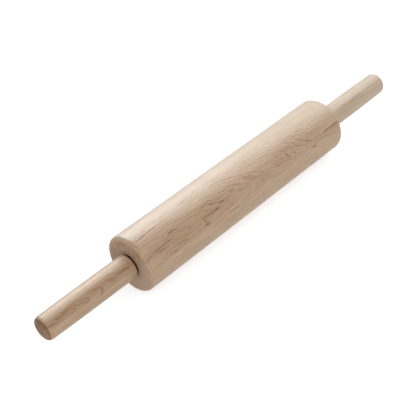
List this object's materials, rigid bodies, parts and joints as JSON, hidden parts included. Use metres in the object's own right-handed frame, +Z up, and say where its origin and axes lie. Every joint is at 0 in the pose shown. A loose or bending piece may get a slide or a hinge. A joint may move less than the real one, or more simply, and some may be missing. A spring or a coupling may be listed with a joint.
{
  "type": "rolling pin",
  "caption": "Maple rolling pin: a solid turned barrel spins on ball bearings round a steel axle rod, between two straight turned handles screwed onto the ends of the rod.",
  "frame": {"origin": "on the table, under the middle of the barrel", "axes": "+X along the axle rod, from the left handle to the right handle; +Y away from the viewer; +Z up"},
  "size_m": [0.5334, 0.0634, 0.0635],
  "materials": {
    "barrel_maple": "sanded and lightly oiled, satin",
    "handle_maple": "sanded and lightly oiled, satin",
    "rod_steel": "bright drawn",
    "bush_steel": "turned",
    "ring_steel": "oiled black spring steel",
    "race_steel": "ground",
    "ball_steel": "polished",
    "shield_steel": "pressed sheet, satin",
    "cage_nylon": "moulded, natural",
    "washer_nylon": "moulded, black",
    "insert_brass": "turned"
  },
  "bodies": {
    "barrel": {"barrel": "barrel_maple", "left_bearing_outer_race": "race_steel", "left_bearing_outer_shield": "shield_steel", "left_bearing_inner_shield": "shield_steel", "right_bearing_outer_race": "race_steel", "right_bearing_outer_shield": "shield_steel", "right_bearing_inner_shield": "shield_steel"},
    "handles": {"axle_rod": "rod_steel", "left_handle": "handle_maple", "left_threaded_insert": "insert_brass", "left_dust_washer": "washer_nylon", "left_spacer_bush": "bush_steel", "left_retaining_ring": "ring_steel", "left_bearing_inner_race": "race_steel", "right_handle": "handle_maple", "right_threaded_insert": "insert_brass", "right_dust_washer": "washer_nylon", "right_spacer_bush": "bush_steel", "right_retaining_ring": "ring_steel", "right_bearing_inner_race": "race_steel"},
    "left_cage": {"left_bearing_cage": "cage_nylon", "left_bearing_balls": "ball_steel"},
    "right_cage": {"right_bearing_cage": "cage_nylon", "right_bearing_balls": "ball_steel"}
  },
  "joints": [
    {"name": "handle_spin", "type": "hinge", "parent": "barrel", "child": "handles", "pos_m": [0, 0, 0.03175], "axis": [1, 0, 0], "continuous": true},
    {"name": "left_cage_spin", "type": "hinge", "parent": "barrel", "child": "left_cage", "pos_m": [-0.14803, 0, 0.03175], "axis": [1, 0, 0], "continuous": true},
    {"name": "right_cage_spin", "type": "hinge", "parent": "barrel", "child": "right_cage", "pos_m": [0.14803, 0, 0.03175], "axis": [1, 0, 0], "continuous": true}
  ],
  "couplings": [
    {"joint": "left_cage_spin", "follows": "handle_spin", "ratio": 0.375},
    {"joint": "right_cage_spin", "follows": "handle_spin", "ratio": 0.375}
  ]
}
